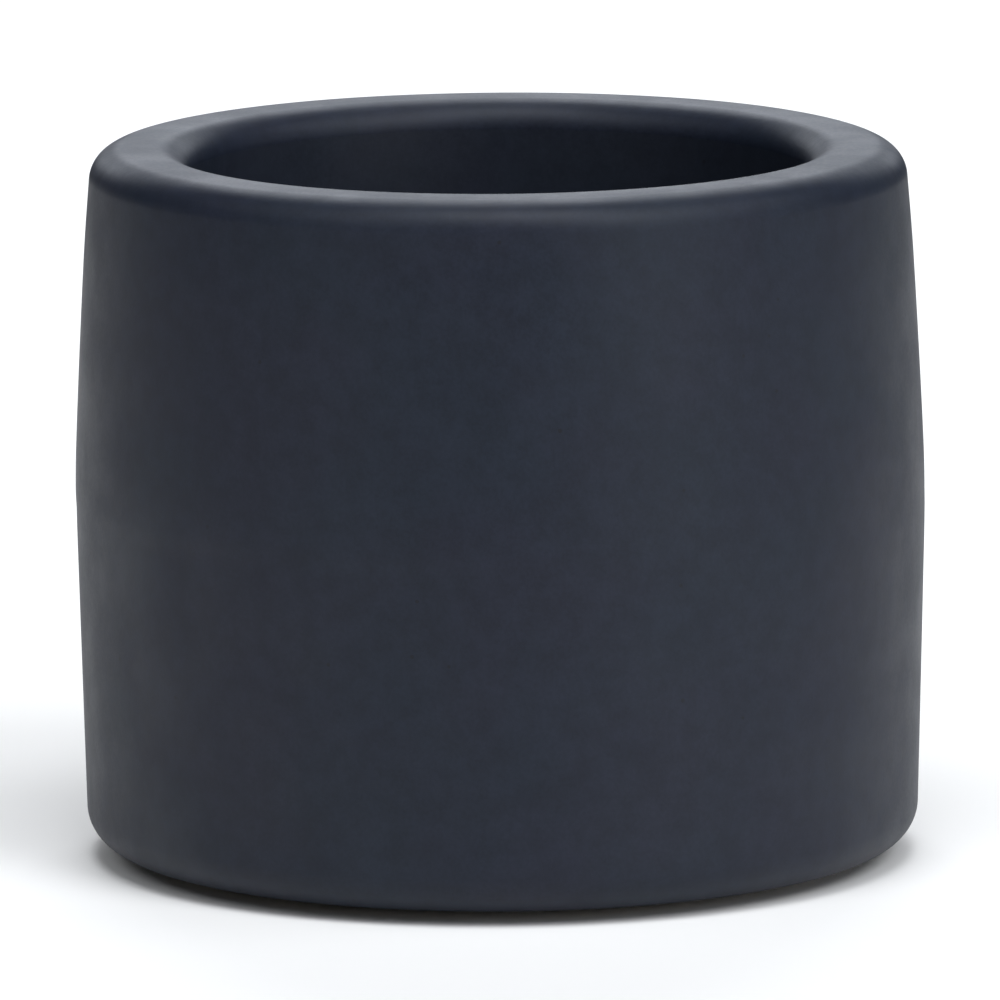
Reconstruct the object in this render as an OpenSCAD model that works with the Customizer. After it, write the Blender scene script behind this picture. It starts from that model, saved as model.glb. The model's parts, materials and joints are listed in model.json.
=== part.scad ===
// Empty candle jar: a thick-walled round stoneware vessel with a matte coat outside, a liner
// glaze inside and four rubber pads under the base. Millimetres, +Z up, z = 0 at the underside
// of the pads, X = Y = 0 on the axis of the jar.

/* [Outside] */
// Widest diameter, at the mould joint half way up
waist_d = 90; // [88:0.5:100]
// Height of the glazed outside, from its underside to the crown of the rim
vessel_h = 74.5; // [66:0.1:90]
// Height of the widest point above the glazed underside
waist_h = 37; // [30:0.1:42]
// Angle by which the upper wall leans in just above the waist, in degrees
waist_taper = 2.4; // [1.6:0.1:3.2]
// Angle by which the upper wall leans in just below the rim, in degrees
rim_taper = 3.8; // [3.4:0.1:4.5]
// Angle by which the lower wall leans in towards the foot, in degrees
foot_taper = 1.5; // [0.5:0.1:2.5]
// Radius of the arc that softens the ridge at the waist
waist_blend = 160; // [60:10:240]
// Rounding of the bottom edge
foot_fillet = 4.2; // [2.5:0.1:5.5]
// Rounding of the outer edge of the rim
rim_fillet = 3.5; // [2:0.1:4.5]

/* [Inside] */
// Diameter of the straight glazed mouth
mouth_d = 65.6; // [58:0.2:66.4]
// Rounding of the inner edge of the rim
lip_fillet = 3.1; // [1.5:0.1:4]
// Thickness of the bottom, from the glazed underside to the glazed inner floor
floor_t = 10; // [7:0.5:16]
// Rounding between the inner wall and the inner floor
floor_fillet = 7; // [3:0.5:12]

/* [Glaze] */
// Thickness of both glazes
glaze_t = 0.4; // [0.3:0.05:0.6]
// Bare margin between the foot ring and the edge of the outer glaze
glaze_margin = 1; // [0.5:0.1:1.5]

/* [Foot] */
// Distance of the bare foot ring from the start of the bottom edge's rounding
ring_set_back = 2.6; // [2:0.1:4]
// Width of the foot ring
ring_w = 3.8; // [2.5:0.1:6]
// Height by which the foot ring stands proud of the glazed underside
foot_proud = 0.4; // [0.2:0.1:0.8]
// Depth of the recess above the foot ring
recess_depth = 1.5; // [1.3:0.1:1.6]
// Rounding of the two edges of the foot ring
ring_round = 0.35; // [0.2:0.05:0.5]

/* [Pads] */
// Number of rubber pads
pad_count = 4; // [3:1:6]
// Diameter of a pad
pad_d = 8; // [6:0.5:9]
// Thickness of a pad's rubber
pad_t = 2.15; // [2.05:0.05:2.4]
// Rounding of a pad's lower edge
pad_round = 0.8; // [0.4:0.1:1.2]
// Gap between a pad and the wall of the recess
pad_gap = 2.1; // [1:0.1:6]
// Thickness of the adhesive film on a pad
adhesive_t = 0.15; // [0.1:0.05:0.2]
// Margin by which the adhesive film is smaller than the pad all round
adhesive_margin = 0.15; // [0.1:0.05:0.4]

/* [Hidden] */
pad_names = [for (i = [1 : pad_count]) str("foot_pad_", i)];
adhesive_names = [for (i = [1 : pad_count]) str("pad_adhesive_", i)];
$fn = 180;

slate = [0.20, 0.22, 0.26];
slate_satin = [0.16, 0.18, 0.21];
clay = [0.62, 0.58, 0.53];
black_rubber = [0.07, 0.07, 0.07];
film = [0.85, 0.83, 0.76];

// Segments in each round stretch of the outline
fillet_steps = 12;
wall_steps = 6;

// The pads hold the vessel's glazed underside this far above whatever the jar stands on.
recess_z = pad_t + adhesive_t;
foot_z = recess_z - recess_depth;
underside_z = foot_z + foot_proud;
crown_z = underside_z + vessel_h;
mouth_r = mouth_d / 2;

// Centres, as [radius, height], of the arcs that the outline of the vessel is made of. Each arc
// is tangent to the next, so a parallel outline uses the same centres and other radii.
waist_c = [waist_d / 2 - waist_blend, underside_z + waist_h];

// The upper wall is one shallow arc from the waist's taper to the rim's taper. Its radius is
// the one that brings it to the rim's fillet at the height of the crown.
wall_r = (crown_z - rim_fillet * (1 - sin(rim_taper)) - waist_c.y - waist_blend * sin(waist_taper))
    / (sin(rim_taper) - sin(waist_taper));
wall_c = waist_c + (waist_blend - wall_r) * direction(waist_taper);
rim_c = wall_c + (wall_r - rim_fillet) * direction(rim_taper);
lip_c = [mouth_r + lip_fillet, crown_z - lip_fillet];

// The lower wall is straight: foot_c lies where the bottom fillet touches both that wall and
// the underside.
lower_wall_offset = waist_c * direction(-foot_taper) + waist_blend;
foot_c_z = underside_z + foot_fillet;
foot_c = [(lower_wall_offset - foot_fillet + foot_c_z * sin(foot_taper)) / cos(foot_taper), foot_c_z];

foot_ring_r = foot_c.x - ring_set_back;
recess_r = foot_ring_r - ring_w;
pad_centre_r = recess_r - pad_gap - pad_d / 2;

floor_z = underside_z + floor_t;
floor_c = [mouth_r - floor_fillet, floor_z + floor_fillet];

function direction(angle) = [cos(angle), sin(angle)];

function arc(centre, radius, from_angle, to_angle, steps) =
    [for (i = [0 : steps]) centre + radius * direction(from_angle + (to_angle - from_angle) * i / steps)];

function reversed(points) = [for (i = [len(points) - 1 : -1 : 0]) points[i]];

// Outside of the vessel from the underside to the foot of the lip, `inset` below the surface
function outer_outline(inset) = concat(
    arc(foot_c, foot_fillet - inset, -90, -foot_taper, fillet_steps),
    arc(waist_c, waist_blend - inset, -foot_taper, waist_taper, wall_steps),
    arc(wall_c, wall_r - inset, waist_taper, rim_taper, wall_steps),
    arc(rim_c, rim_fillet - inset, rim_taper, 90, fillet_steps),
    arc(lip_c, lip_fillet - inset, 90, 180, fillet_steps)
);

// Inside of the vessel from the axis to the foot of the lip, `inset` below the surface
function cavity_outline(inset) = concat(
    [[0, floor_z - inset]],
    arc(floor_c, floor_fillet + inset, -90, 0, fillet_steps),
    [[mouth_r + inset, lip_c.y]]
);

// Underside of the clay from the glaze to the axis: the foot ring, then the recess
foot_outline = concat(
    [[foot_ring_r, underside_z + glaze_t]],
    arc([foot_ring_r - ring_round, foot_z + ring_round], ring_round, 0, -90, 4),
    arc([recess_r + ring_round, foot_z + ring_round], ring_round, -90, -180, 4),
    [[recess_r, recess_z], [0, recess_z]]
);

// The cast vessel under its glaze
module stoneware_body() {
    color(clay)
        rotate_extrude()
            polygon(concat(reversed(foot_outline), outer_outline(glaze_t), reversed(cavity_outline(glaze_t))));
}

// Matte coat over the outside, the rim and the lip, wiped back from the foot ring
module matte_outer_glaze() {
    edge_r = foot_ring_r + glaze_margin;
    color(slate)
        rotate_extrude()
            polygon(concat(
                [[edge_r, underside_z]],
                outer_outline(0),
                reversed(outer_outline(glaze_t)),
                [[edge_r, underside_z + glaze_t]]
            ));
}

// Liner that makes the inner wall and floor waterproof
module inner_glaze() {
    color(slate_satin)
        rotate_extrude()
            polygon(concat(cavity_outline(0), reversed(cavity_outline(glaze_t))));
}

// Puts a pad's piece at its place round the axis
module at_pad(index) {
    rotate([0, 0, 360 / pad_count * (index - 0.5)])
        translate([pad_centre_r, 0, 0])
            children();
}

// One round bumper with its face down
module foot_pad(index) {
    pad_r = pad_d / 2;
    color(black_rubber)
        at_pad(index)
            rotate_extrude()
                polygon(concat(
                    [[0, 0]],
                    arc([pad_r - pad_round, pad_round], pad_round, -90, 0, 6),
                    [[pad_r, pad_t], [0, pad_t]]
                ));
}

// The film between a pad and the recess
module pad_adhesive(index) {
    color(film)
        at_pad(index)
            translate([0, 0, pad_t])
                cylinder(h = adhesive_t, r = pad_d / 2 - adhesive_margin);
}

stoneware_body();
matte_outer_glaze();
inner_glaze();
for (i = [1 : pad_count]) {
    foot_pad(i);
    pad_adhesive(i);
}
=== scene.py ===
"""Looks of the empty candle jar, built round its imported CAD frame. Metres, +Z up."""
import json
import math

import bpy
import numpy as np
from mathutils import Matrix, Vector


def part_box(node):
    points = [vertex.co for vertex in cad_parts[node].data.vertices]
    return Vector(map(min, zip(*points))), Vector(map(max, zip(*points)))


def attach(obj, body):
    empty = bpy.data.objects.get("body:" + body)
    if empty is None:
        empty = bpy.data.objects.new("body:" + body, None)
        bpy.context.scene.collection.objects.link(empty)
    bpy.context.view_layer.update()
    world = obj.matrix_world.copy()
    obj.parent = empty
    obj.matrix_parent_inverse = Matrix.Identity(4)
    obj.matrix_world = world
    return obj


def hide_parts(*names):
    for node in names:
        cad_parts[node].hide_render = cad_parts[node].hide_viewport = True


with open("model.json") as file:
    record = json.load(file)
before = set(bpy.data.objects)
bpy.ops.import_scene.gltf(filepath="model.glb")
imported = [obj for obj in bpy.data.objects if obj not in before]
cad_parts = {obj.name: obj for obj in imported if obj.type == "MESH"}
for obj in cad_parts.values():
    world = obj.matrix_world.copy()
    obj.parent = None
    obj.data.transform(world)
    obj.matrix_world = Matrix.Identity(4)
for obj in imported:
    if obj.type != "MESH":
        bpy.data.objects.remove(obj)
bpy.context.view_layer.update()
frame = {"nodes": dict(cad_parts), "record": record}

MM = 0.001

# ---------------------------------------------------------------------------------------------
# Sizes. What the frame holds is read from it. The rest is named here, with angles in degrees.
# ---------------------------------------------------------------------------------------------
MOUTH = next(m for m in frame["record"]["mounts"] if m["name"] == "mouth")
MOUTH_R = MOUTH["dims"]["r_mm"] * MM
WALL_HALF = MOUTH["dims"]["length_mm"] * MM / 2
STRAIGHT_LOW = MOUTH["pos_m"][2] - WALL_HALF
STRAIGHT_HIGH = MOUTH["pos_m"][2] + WALL_HALF

COAT_LOW, COAT_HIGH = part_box("matte_outer_glaze")
UNDERSIDE_Z = COAT_LOW.z
CROWN_Z = COAT_HIGH.z
WAIST_R = (COAT_HIGH.x - COAT_LOW.x) / 2

LINER_LOW, LINER_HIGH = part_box("inner_glaze")
GLAZE_T = LINER_HIGH.x - MOUTH_R
FLOOR_Z = LINER_LOW.z + GLAZE_T
FLOOR_FILLET = STRAIGHT_LOW - FLOOR_Z
LIP_FILLET = CROWN_Z - STRAIGHT_HIGH

FOOT_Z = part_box("stoneware_body")[0].z
RECESS_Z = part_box("pad_adhesive_1")[1].z

# The outside: its widest place, how far each wall leans in, and its roundings
WAIST_H = 37 * MM
WAIST_Z = UNDERSIDE_Z + WAIST_H
WAIST_BLEND = 160 * MM
WAIST_TAPER = 2.4
RIM_TAPER = 3.8
FOOT_TAPER = 1.5
FOOT_FILLET = 4.2 * MM
RIM_FILLET = 3.5 * MM

# The underside: the foot ring, the wiped edge of the coat and the pads
RING_SET_BACK = 2.6 * MM
RING_W = 3.8 * MM
RING_ROUND = 0.35 * MM
GLAZE_MARGIN = 1 * MM
GLAZE_BEAD = 0.28 * MM
PAD_COUNT = 4
PAD_ROUND = 0.8 * MM

SEGMENTS = 288
PAD_SEGMENTS = 64
SHARP_ANGLE = 40
ON_AXIS = 1e-7


# ---------------------------------------------------------------------------------------------
# Outlines: lists of (radius, height)
# ---------------------------------------------------------------------------------------------
def on_circle(centre, radius, angle):
    """The point of a circle at an angle from the outward direction."""
    turn = math.radians(angle)
    return (centre[0] + radius * math.cos(turn), centre[1] + radius * math.sin(turn))


def arc(centre, radius, start, end, steps):
    """Points of an arc from one angle to another, both ends included."""
    return [on_circle(centre, radius, start + (end - start) * i / steps) for i in range(steps + 1)]


def line(start, end, steps):
    """Points from start to end, both included."""
    return [
        (start[0] + (end[0] - start[0]) * i / steps, start[1] + (end[1] - start[1]) * i / steps)
        for i in range(steps + 1)
    ]


def wall_arc_radius():
    """Radius of the shallow upper wall, which turns from the waist's taper to the rim's."""
    rim, waist = math.sin(math.radians(RIM_TAPER)), math.sin(math.radians(WAIST_TAPER))
    rise = CROWN_Z - RIM_FILLET * (1 - rim) - WAIST_Z - WAIST_BLEND * waist
    return rise / (rim - waist)


WALL_R = wall_arc_radius()
WAIST_C = (WAIST_R - WAIST_BLEND, WAIST_Z)
WALL_C = on_circle(WAIST_C, WAIST_BLEND - WALL_R, WAIST_TAPER)
RIM_C = on_circle(WALL_C, WALL_R - RIM_FILLET, RIM_TAPER)
LIP_C = (MOUTH_R + LIP_FILLET, STRAIGHT_HIGH)
FLOOR_C = (MOUTH_R - FLOOR_FILLET, STRAIGHT_LOW)


def foot_centre():
    """Centre of the bottom edge's rounding, tangent to the straight lower wall and the underside."""
    lean = math.radians(-FOOT_TAPER)
    reach = WAIST_C[0] * math.cos(lean) + WAIST_C[1] * math.sin(lean) + WAIST_BLEND
    height = UNDERSIDE_Z + FOOT_FILLET
    return ((reach - FOOT_FILLET - height * math.sin(lean)) / math.cos(lean), height)


FOOT_C = foot_centre()
RING_R = FOOT_C[0] - RING_SET_BACK
RECESS_R = RING_R - RING_W
COAT_EDGE_R = RING_R + GLAZE_MARGIN


def outside(inset, fine):
    """The vessel's outside from its underside to the foot of the lip, `inset` below the surface."""
    foot = arc(FOOT_C, FOOT_FILLET - inset, -90, -FOOT_TAPER, 10 * fine)
    waist = arc(WAIST_C, WAIST_BLEND - inset, -FOOT_TAPER, WAIST_TAPER, 14 * fine)
    lower = line(foot[-1], waist[0], 7 * fine)[1:-1]
    wall = arc(WALL_C, WALL_R - inset, WAIST_TAPER, RIM_TAPER, 8 * fine)[1:]
    rim = arc(RIM_C, RIM_FILLET - inset, RIM_TAPER, 90, 10 * fine)[1:]
    lip = arc(LIP_C, LIP_FILLET - inset, 90, 180, 10 * fine)
    crown = line(rim[-1], lip[0], 4 * fine)[1:-1]
    return foot + lower + waist + wall + rim + crown + lip


def inside(inset, fine):
    """The cavity from its axis to the foot of the lip, `inset` below the surface."""
    corner = arc(FLOOR_C, FLOOR_FILLET + inset, -90, 0, 10 * fine)
    floor = line((0, FLOOR_Z - inset), corner[0], 8 * fine)[:-1]
    wall = line(corner[-1], (MOUTH_R + inset, STRAIGHT_HIGH), 14 * fine)[1:]
    return floor + corner + wall


def underside():
    """The bare clay under the jar, from the foot ring's outer side to the axis."""
    outer = arc((RING_R - RING_ROUND, FOOT_Z + RING_ROUND), RING_ROUND, 0, -90, 6)
    inner = arc((RECESS_R + RING_ROUND, FOOT_Z + RING_ROUND), RING_ROUND, -90, -180, 6)
    start = [(RING_R, UNDERSIDE_Z + GLAZE_T)]
    return start + outer + inner + line((RECESS_R, RECESS_Z), (0, RECESS_Z), 24)


# ---------------------------------------------------------------------------------------------
# Unevenness of the surfaces, as a displacement along the outline's normal
# ---------------------------------------------------------------------------------------------
TURNS = np.linspace(0, 2 * np.pi, SEGMENTS, endpoint=False)

# How far the surfaces stray from the true outline
COAT_WAVER = 0.05 * MM
LINER_WAVER = 0.05 * MM
CROWN_DOME = 0.14 * MM
CREST_R = (RIM_C[0] + LIP_C[0]) / 2

# The mould joint: a step outwards, a shift of the lower half to one side, the height over which
# they blend, and how many of those heights away the step has died out
SEAM_STEP = 0.045 * MM
SEAM_SHIFT = 0.05 * MM
SEAM_BLEND = 1.2 * MM
SEAM_REACH = 12

# Distances over which the liner's waver fades in from the axis and out towards the lip
LINER_FADE_IN = 20 * MM
LINER_FADE_OUT = 8 * MM


def smooth(value):
    """Eases 0..1 and holds what lies beyond."""
    value = np.clip(value, 0, 1)
    return value * value * (3 - 2 * value)


def along(outline):
    """Distance of each point along the outline from its start."""
    points = np.array(outline)
    return np.concatenate([[0], np.cumsum(np.linalg.norm(np.diff(points, axis=0), axis=1))])


def waver(outline, depth, seed):
    """Slow waves round the axis that lean as they rise, at most `depth` deep."""
    random = np.random.default_rng(seed)
    height = np.array(outline)[:, 1:]
    total = np.zeros((len(outline), SEGMENTS))
    for waves in (1, 2, 3, 4, 5, 7, 9, 12):
        phase, lean = random.uniform(0, 2 * np.pi), random.uniform(-70, 70)
        total += random.uniform(0.6, 1) / waves * np.cos(waves * TURNS + phase + lean * height)
    return depth * total / np.abs(total).max()


def coat_relief(outline):
    """Waver, the crown's doming, and the slight step and shift where the mould's halves met."""
    length = along(outline)
    height = np.array(outline)[:, 1]
    fade = smooth(length / FOOT_FILLET) * smooth((length[-1] - length) / LIP_FILLET)
    rise = (height - WAIST_Z) / SEAM_BLEND
    step = SEAM_STEP / 2 * np.tanh(rise) * np.exp(-((rise / SEAM_REACH) ** 2))
    shift = SEAM_SHIFT * (1 - smooth(rise / 2 + 0.5))
    relief = waver(outline, COAT_WAVER, 11) + shift[:, None] * np.cos(TURNS)
    relief += (step + crown_dome(outline))[:, None]
    return relief * fade[:, None]


def crown_dome(outline):
    """The crown's soft doming: none at the crest, half of it at both corners of the flat."""
    length = along(outline)
    crest = length[np.argmin(np.abs(np.array(outline) - (CREST_R, CROWN_Z)).sum(1))]
    reach = np.abs(length - crest) / (RIM_C[0] - CREST_R)
    return -CROWN_DOME * smooth(reach / 2) * (1 - smooth((reach - 2) / 6))


def liner_relief(outline):
    """Waver alone, none at the axis and none where the liner meets the coat."""
    length = along(outline)
    fade = smooth(length / LINER_FADE_IN) * smooth((length[-1] - length) / LINER_FADE_OUT)
    return waver(outline, LINER_WAVER, 23) * fade[:, None]


# ---------------------------------------------------------------------------------------------
# Meshes
# ---------------------------------------------------------------------------------------------
def clockwise(points):
    """Whether a closed outline runs clockwise, so that its solid would be inside out."""
    ahead = np.roll(points, -1, 0)
    return np.sum(points[:, 0] * ahead[:, 1] - ahead[:, 0] * points[:, 1]) < 0


def outline_normals(points):
    """Unit normals on the right-hand side of a closed outline."""
    run = np.roll(points, -1, 0) - np.roll(points, 1, 0)
    normals = np.stack([run[:, 1], -run[:, 0]], 1)
    return normals / np.linalg.norm(normals, axis=1, keepdims=True)


def lathe(name, outline, segments=SEGMENTS, offset=(0, 0), relief=None):
    """A closed solid turned from a closed outline. A point on the axis becomes one vertex."""
    points = np.array(outline)
    normals = outline_normals(points)
    turns = np.linspace(0, 2 * np.pi, segments, endpoint=False)
    verts, rings = [], []
    for i, (radius, height) in enumerate(points):
        if radius < ON_AXIS:
            rings.append([len(verts)] * segments)
            verts.append((offset[0], offset[1], height))
            continue
        out = relief[i] if relief is not None and i < len(relief) else np.zeros(segments)
        radii, heights = radius + out * normals[i, 0], height + out * normals[i, 1]
        rings.append(list(range(len(verts), len(verts) + segments)))
        ring = (offset[0] + radii * np.cos(turns), offset[1] + radii * np.sin(turns), heights)
        verts.extend(map(tuple, np.stack(ring, 1).tolist()))
    faces = []
    inside_out = clockwise(points)
    for low, high in zip(rings, rings[1:] + rings[:1]):
        for k in range(segments):
            n = (k + 1) % segments
            corners = [low[k], low[n], high[n], high[k]]
            corners = [c for i, c in enumerate(corners) if c not in corners[:i]]
            if inside_out:
                corners.reverse()
            if len(corners) > 2:
                faces.append(corners)
    mesh = bpy.data.meshes.new(name)
    mesh.from_pydata(verts, [], faces)
    mesh.update()
    mesh.shade_smooth()
    mesh.set_sharp_from_angle(angle=math.radians(SHARP_ANGLE))
    piece = bpy.data.objects.new(name, mesh)
    bpy.context.scene.collection.objects.link(piece)
    return piece


def add_piece(piece, node, material):
    """Gives a piece its material and puts it in place of its CAD node."""
    piece.data.materials.append(material)
    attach(piece, "root")
    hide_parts(node)


# ---------------------------------------------------------------------------------------------
# Materials
# ---------------------------------------------------------------------------------------------
class Surface:
    """A material and short ways to add nodes to it. A value is a number or a node's output."""

    def __init__(self, name):
        self.material = bpy.data.materials.new(name)
        self.material.use_nodes = True
        self.tree = self.material.node_tree
        self.shader = self.tree.nodes["Principled BSDF"]
        self.place = self.add("ShaderNodeTexCoord").outputs["Object"]

    def add(self, kind, **settings):
        """A new node with its properties set."""
        node = self.tree.nodes.new(kind)
        for name, value in settings.items():
            setattr(node, name, value)
        return node

    def put(self, socket, value):
        """Links or sets one socket."""
        if isinstance(value, bpy.types.NodeSocket):
            self.tree.links.new(value, socket)
        else:
            socket.default_value = value

    def set(self, **values):
        """Links or sets the shader's sockets by name."""
        for name, value in values.items():
            self.put(self.shader.inputs[name.replace("_", " ")], value)

    def noise(self, size, detail, roughness):
        """Noise with features `size` metres across, 0 to 1 about 0.5."""
        node = self.add("ShaderNodeTexNoise")
        self.put(node.inputs["Vector"], self.place)
        node.inputs["Scale"].default_value = 1 / size
        node.inputs["Detail"].default_value = detail
        node.inputs["Roughness"].default_value = roughness
        return node.outputs["Fac"]

    def specks(self, size, radius, share):
        """1 inside round specks, one in a `share` of the cells that are `size` across."""
        cells = self.add("ShaderNodeTexVoronoi", feature="F1")
        self.put(cells.inputs["Vector"], self.place)
        cells.inputs["Scale"].default_value = 1 / size
        spot = self.ramp(cells.outputs["Distance"], 0.6 * radius / size, radius / size, 1, 0)
        chance = self.add("ShaderNodeSeparateColor")
        self.put(chance.inputs["Color"], cells.outputs["Color"])
        kept = self.ramp(chance.outputs["Red"], share - 0.02, share, 1, 0)
        return self.math("MULTIPLY", spot, kept)

    def ramp(self, value, low, high, start, end):
        """Value from low..high, eased, to start..end."""
        node = self.add("ShaderNodeMapRange", interpolation_type="SMOOTHSTEP")
        for socket, setting in zip(node.inputs, (value, low, high, start, end)):
            self.put(socket, setting)
        return node.outputs["Result"]

    def math(self, operation, *values):
        """The result of one sum on the values."""
        node = self.add("ShaderNodeMath", operation=operation)
        for socket, value in zip(node.inputs, values):
            self.put(socket, value)
        return node.outputs["Value"]

    def mix(self, factor, first, second):
        """The first color at 0 and the second at 1."""
        node = self.add("ShaderNodeMix", data_type="RGBA")
        self.put(node.inputs[0], factor)
        for socket, color in ((node.inputs[6], first), (node.inputs[7], second)):
            self.put(socket, (*color, 1) if isinstance(color, tuple) else color)
        return node.outputs[2]

    def axis(self, name):
        """The X, Y or Z of a place."""
        node = self.add("ShaderNodeSeparateXYZ")
        self.put(node.inputs["Vector"], self.place)
        return node.outputs[name]

    def radius(self):
        """Distance from the jar's axis."""
        squares = [self.math("MULTIPLY", self.axis(a), self.axis(a)) for a in "XY"]
        return self.math("SQRT", self.math("ADD", *squares))

    def bump(self, *layers):
        """Layers of (height, depth in metres), the coarsest first."""
        normal = None
        for height, depth in layers:
            node = self.add("ShaderNodeBump")
            self.put(node.inputs["Height"], height)
            node.inputs["Distance"].default_value = depth
            if normal is not None:
                self.put(node.inputs["Normal"], normal)
            normal = node.outputs["Normal"]
        self.put(self.shader.inputs["Normal"], normal)


# Roughness taken off at the crown of the rim, and the heights between which it sets in
RIM_POLISH = 0.045
POLISH_LOW = CROWN_Z - 2 * MM
POLISH_HIGH = CROWN_Z - 0.4 * MM
IRON = (0.008, 0.008, 0.009)


def slate_glaze(name, cool, warm, tone_swing, base_rough, rough_swing, specular):
    """Dark slate glaze: broad and fine mottling, sparse iron specks and a fine grain."""
    s = Surface(name)
    broad = s.ramp(s.noise(22 * MM, 3, 0.55), 0.32, 0.68, 0, 1)
    fine = s.noise(2.4 * MM, 4, 0.6)
    grain = s.noise(0.42 * MM, 2, 0.6)
    fine_tone = s.ramp(fine, 0.3, 0.7, 1 - tone_swing, 1 + tone_swing)
    grain_swing = 0.8 * tone_swing
    grain_tone = s.ramp(grain, 0.3, 0.7, 1 - grain_swing, 1 + grain_swing)
    shade = s.add("ShaderNodeVectorMath", operation="SCALE")
    s.put(shade.inputs[0], s.mix(broad, cool, warm))
    s.put(shade.inputs["Scale"], s.math("MULTIPLY", fine_tone, grain_tone))
    specks = s.specks(3.1 * MM, 0.28 * MM, 0.3)
    color = s.mix(s.math("MULTIPLY", specks, 0.6), shade.outputs["Vector"], IRON)
    patches = s.ramp(s.noise(9 * MM, 3, 0.6), 0.3, 0.7, -rough_swing, rough_swing)
    rough = s.math("ADD", s.math("ADD", patches, base_rough), s.ramp(grain, 0.3, 0.7, -0.02, 0.02))
    polish = s.ramp(s.axis("Z"), POLISH_LOW, POLISH_HIGH, 0, RIM_POLISH)
    rough = s.math("SUBTRACT", rough, polish)
    s.set(Base_Color=color, Roughness=rough, Specular_IOR_Level=specular)
    s.bump(
        (s.noise(7 * MM, 2, 0.5), 0.03 * MM),
        (s.noise(1.5 * MM, 3, 0.55), 0.012 * MM),
        (grain, 0.006 * MM),
    )
    return s.material


# Distance between two turning marks in the bare clay
RING_PITCH = 1.1 * MM


def bare_clay():
    """Unglazed buff stoneware: grog specks, turning marks round the axis, a dusty sanded foot."""
    s = Surface("bare_clay")
    cloud = s.ramp(s.noise(11 * MM, 4, 0.6), 0.3, 0.7, 0, 1)
    color = s.mix(cloud, (0.30, 0.255, 0.205), (0.24, 0.205, 0.17))
    pale = s.ramp(s.noise(0.8 * MM, 3, 0.6), 0.35, 0.7, 0, 0.5)
    color = s.mix(pale, color, (0.36, 0.32, 0.27))
    color = s.mix(s.specks(1.9 * MM, 0.22 * MM, 0.35), color, (0.09, 0.065, 0.05))
    color = s.mix(s.specks(2.7 * MM, 0.3 * MM, 0.25), color, (0.46, 0.42, 0.36))
    sanded = s.ramp(s.axis("Z"), FOOT_Z + 0.05 * MM, FOOT_Z + 0.3 * MM, 0.35, 0)
    color = s.mix(sanded, color, (0.42, 0.37, 0.31))
    stray = s.math("MULTIPLY", s.noise(14 * MM, 2, 0.5), 1.2 * MM)
    turn = s.math("MULTIPLY", s.math("ADD", s.radius(), stray), 2 * math.pi / RING_PITCH)
    rough = s.ramp(s.noise(1.2 * MM, 3, 0.6), 0.3, 0.7, 0.78, 0.93)
    s.set(Base_Color=color, Roughness=rough, Specular_IOR_Level=0.3)
    s.bump(
        (s.math("MULTIPLY", s.math("SINE", turn), 0.5), 0.018 * MM),
        (s.noise(0.9 * MM, 4, 0.65), 0.04 * MM),
        (s.noise(0.25 * MM, 2, 0.6), 0.012 * MM),
    )
    return s.material


def black_rubber():
    """Moulded bumper: dull, a little dusty, with a fine pebbled skin."""
    s = Surface("black_rubber")
    dust = s.ramp(s.noise(2.2 * MM, 4, 0.65), 0.45, 0.75, 0, 0.35)
    color = s.mix(dust, (0.016, 0.016, 0.017), (0.06, 0.057, 0.052))
    rough = s.ramp(s.noise(1.1 * MM, 3, 0.6), 0.3, 0.7, 0.62, 0.8)
    s.set(Base_Color=color, Roughness=rough, Specular_IOR_Level=0.4)
    s.bump((s.noise(1.4 * MM, 2, 0.5), 0.015 * MM), (s.noise(0.2 * MM, 2, 0.6), 0.008 * MM))
    return s.material


def adhesive_film():
    """Cream acrylic film with faint cloudiness and tiny trapped bubbles."""
    s = Surface("adhesive_film")
    cloud = s.ramp(s.noise(1.6 * MM, 3, 0.6), 0.3, 0.7, 0, 1)
    color = s.mix(cloud, (0.62, 0.58, 0.48), (0.52, 0.48, 0.38))
    color = s.mix(s.specks(0.5 * MM, 0.09 * MM, 0.4), color, (0.74, 0.71, 0.62))
    rough = s.ramp(s.noise(0.8 * MM, 2, 0.5), 0.3, 0.7, 0.34, 0.5)
    s.set(Base_Color=color, Roughness=rough)
    s.bump((s.noise(0.6 * MM, 2, 0.5), 0.008 * MM))
    return s.material


outer_mat = slate_glaze(
    "matte_slate_glaze", cool=(0.0107, 0.0150, 0.0247), warm=(0.0119, 0.0145, 0.0250),
    tone_swing=0.12, base_rough=0.5, rough_swing=0.035, specular=0.25,
)
inner_mat = slate_glaze(
    "satin_slate_glaze", cool=(0.0135, 0.0178, 0.0262), warm=(0.0147, 0.0173, 0.0264),
    tone_swing=0.08, base_rough=0.47, rough_swing=0.03, specular=0.28,
)
clay_mat = bare_clay()
rubber_mat = black_rubber()
film_mat = adhesive_film()

# ---------------------------------------------------------------------------------------------
# Pieces
# ---------------------------------------------------------------------------------------------
def make_coat():
    """The matte coat, from its wiped, beaded edge under the jar to the foot of the lip."""
    edge = (COAT_EDGE_R + GLAZE_BEAD, UNDERSIDE_Z)
    skin = line(edge, (FOOT_C[0], UNDERSIDE_Z), 6)[:-1] + outside(0, 3)
    back = outside(GLAZE_T, 1)[::-1] + [(COAT_EDGE_R, UNDERSIDE_Z + GLAZE_T)]
    bead = arc((edge[0], UNDERSIDE_Z + GLAZE_BEAD), GLAZE_BEAD, 180, 270, 6)[:-1]
    coat = lathe("outer_glaze_coat", skin + back + bead, relief=coat_relief(skin))
    add_piece(coat, "matte_outer_glaze", outer_mat)


def make_liner():
    """The satin liner of the wall and floor of the cavity."""
    face = inside(0, 2)
    outline = face + inside(GLAZE_T, 1)[::-1]
    liner = lathe("inner_glaze_liner", outline, relief=liner_relief(face))
    add_piece(liner, "inner_glaze", inner_mat)


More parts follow.
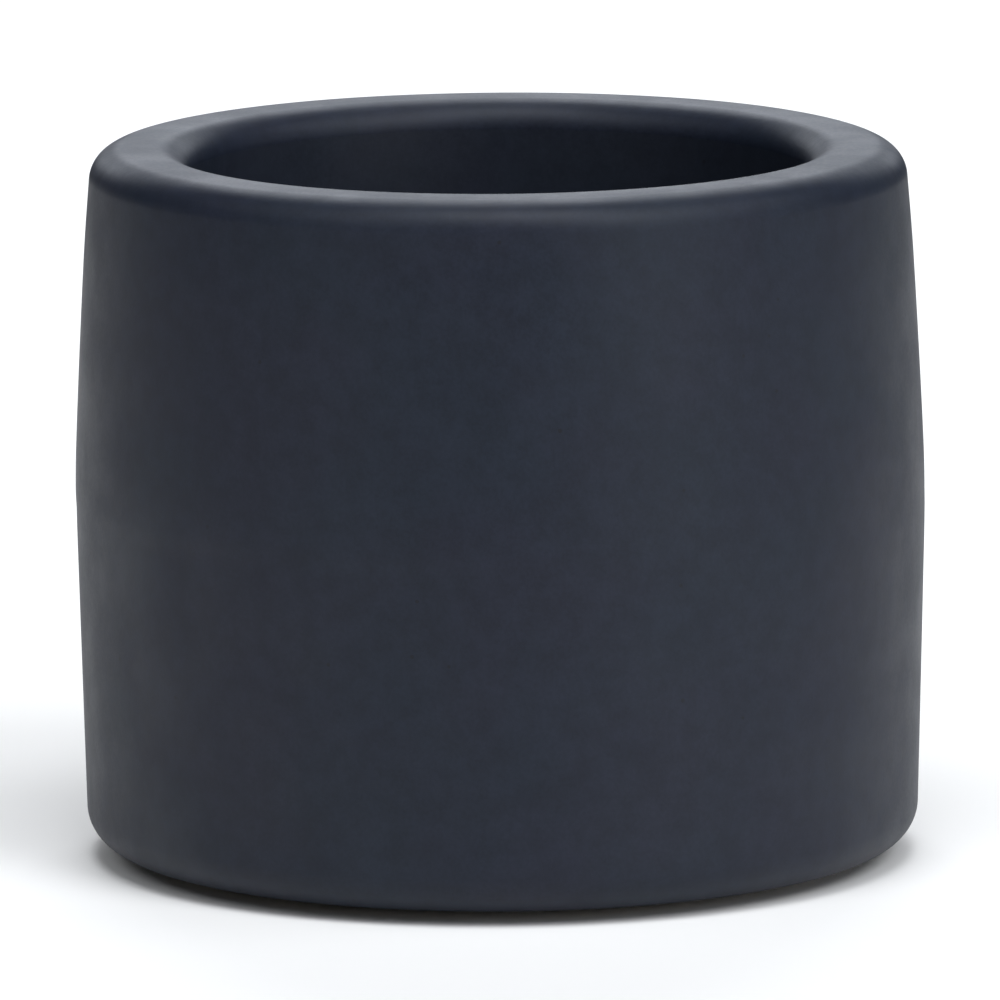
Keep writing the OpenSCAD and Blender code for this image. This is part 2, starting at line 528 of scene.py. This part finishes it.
def make_body():
    """The clay vessel under both glazes, bare only under the jar."""
    cavity = inside(GLAZE_T, 1)[:-1]
    outline = underside()[::-1] + outside(GLAZE_T, 1) + cavity[::-1]
    add_piece(lathe("clay_body", outline), "stoneware_body", clay_mat)


def make_pad(index):
    """One round bumper with a rounded lower edge."""
    low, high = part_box(f"foot_pad_{index}")
    centre, pad_r = (low + high) / 2, (high.x - low.x) / 2
    edge = arc((pad_r - PAD_ROUND, low.z + PAD_ROUND), PAD_ROUND, -90, 0, 10)
    outline = [(0, low.z)] + edge + [(pad_r, high.z), (0, high.z)]
    pad = lathe(f"rubber_pad_{index}", outline, PAD_SEGMENTS, (centre.x, centre.y))
    add_piece(pad, f"foot_pad_{index}", rubber_mat)


def dress_film(index):
    """The CAD film keeps its shape and gets its material."""
    film = frame["nodes"][f"pad_adhesive_{index}"]
    film.data.materials.clear()
    film.data.materials.append(film_mat)


make_coat()
make_liner()
make_body()
for pad_index in range(1, PAD_COUNT + 1):
    make_pad(pad_index)
    dress_film(pad_index)


# ---------------------------------------------------------------------------------------------
# Camera: level with the photograph's, angles in degrees and lens and sensor in millimetres
# ---------------------------------------------------------------------------------------------
VIEW_ELEVATION = 9.63
VIEW_DISTANCE = 1.443
VIEW_ROLL = -0.36
LENS = 489.8
SENSOR = 36.0
AIM_DROP = 0.86 * MM
CLIP = (0.05, 20)


def make_camera():
    """Looks along +Y and down, past the middle of the vessel by AIM_DROP."""
    tilt = math.radians(VIEW_ELEVATION)
    back = Vector((0, -math.cos(tilt), math.sin(tilt)))
    up = Vector((0, math.sin(tilt), math.cos(tilt)))
    middle = Vector((0, 0, (UNDERSIDE_Z + CROWN_Z) / 2))
    data = bpy.data.cameras.new("camera")
    data.sensor_width, data.lens = SENSOR, LENS
    data.clip_start, data.clip_end = CLIP
    camera = bpy.data.objects.new("camera", data)
    bpy.context.scene.collection.objects.link(camera)
    camera.location = middle + back * VIEW_DISTANCE
    look = (middle - up * AIM_DROP - camera.location).normalized()
    level = look.to_track_quat("-Z", "Y").to_matrix().to_4x4()
    roll = Matrix.Rotation(math.radians(VIEW_ROLL), 4, "Z")
    camera.rotation_euler = (level @ roll).to_euler()
    bpy.context.scene.camera = camera


make_camera()


# ---------------------------------------------------------------------------------------------
# Studio
# ---------------------------------------------------------------------------------------------
LIGHT_COLOR = (0.88, 0.925, 1.0)
FLOOR_COLOR = (0.95, 0.92, 0.87)
FLOOR_HALF = 0.6
SKY = 1.1


def softbox(name, azimuth, elevation, strength, spread=31):
    """A far soft light `spread` degrees across. Azimuth 0 is the camera's side, 90 the right."""
    turn, rise = math.radians(azimuth), math.radians(elevation)
    across = math.cos(rise)
    towards = Vector((math.sin(turn) * across, -math.cos(turn) * across, math.sin(rise)))
    data = bpy.data.lights.new(name, "SUN")
    data.angle, data.energy, data.color = math.radians(spread), strength, LIGHT_COLOR
    light = bpy.data.objects.new(name, data)
    bpy.context.scene.collection.objects.link(light)
    light.rotation_euler = (-towards).to_track_quat("-Z", "Y").to_euler()


softbox("overhead", 0, 72, 1.74)
softbox("front_right", 45, 45, 1.31)
softbox("front_left", 315, 45, 0.49)
softbox("right", 90, 45, 0.38)
softbox("left", 270, 45, 0.17)
softbox("back_high", 180, 45, 1.00)
softbox("low_front_right", 45, 12, 0.61)
softbox("low_front_left", 315, 12, 0.11)
softbox("low_right", 90, 12, 0.15)
for panel_azimuth in (160, 180, 200):
    softbox(f"back_panel_{panel_azimuth}", panel_azimuth, 16, 0.18, 18)


def make_floor():
    """A pale matte sheet under the pads."""
    half = FLOOR_HALF
    corners = [(-half, -half, 0), (half, -half, 0), (half, half, 0), (-half, half, 0)]
    mesh = bpy.data.meshes.new("studio_floor")
    mesh.from_pydata(corners, [], [(0, 1, 2, 3)])
    floor = bpy.data.objects.new("studio_floor", mesh)
    bpy.context.scene.collection.objects.link(floor)
    paper = bpy.data.materials.new("floor_paper")
    paper.use_nodes = True
    shader = paper.node_tree.nodes["Principled BSDF"]
    shader.inputs["Base Color"].default_value = (*FLOOR_COLOR, 1)
    shader.inputs["Roughness"].default_value = 0.9
    shader.inputs["Specular IOR Level"].default_value = 0.0
    mesh.materials.append(paper)


def make_sky():
    """Pale to the camera beyond the floor's edge, and no light of its own."""
    world = bpy.data.worlds.new("studio")
    bpy.context.scene.world = world
    world.use_nodes = True
    tree = world.node_tree
    seen = tree.nodes.new("ShaderNodeLightPath").outputs["Is Camera Ray"]
    strength = tree.nodes.new("ShaderNodeMath")
    strength.operation = "MULTIPLY"
    strength.inputs[1].default_value = SKY
    tree.links.new(seen, strength.inputs[0])
    background = tree.nodes["Background"]
    background.inputs["Color"].default_value = (1, 1, 1, 1)
    tree.links.new(strength.outputs[0], background.inputs["Strength"])


make_floor()
make_sky()
bpy.context.scene.view_settings.view_transform = "Standard"
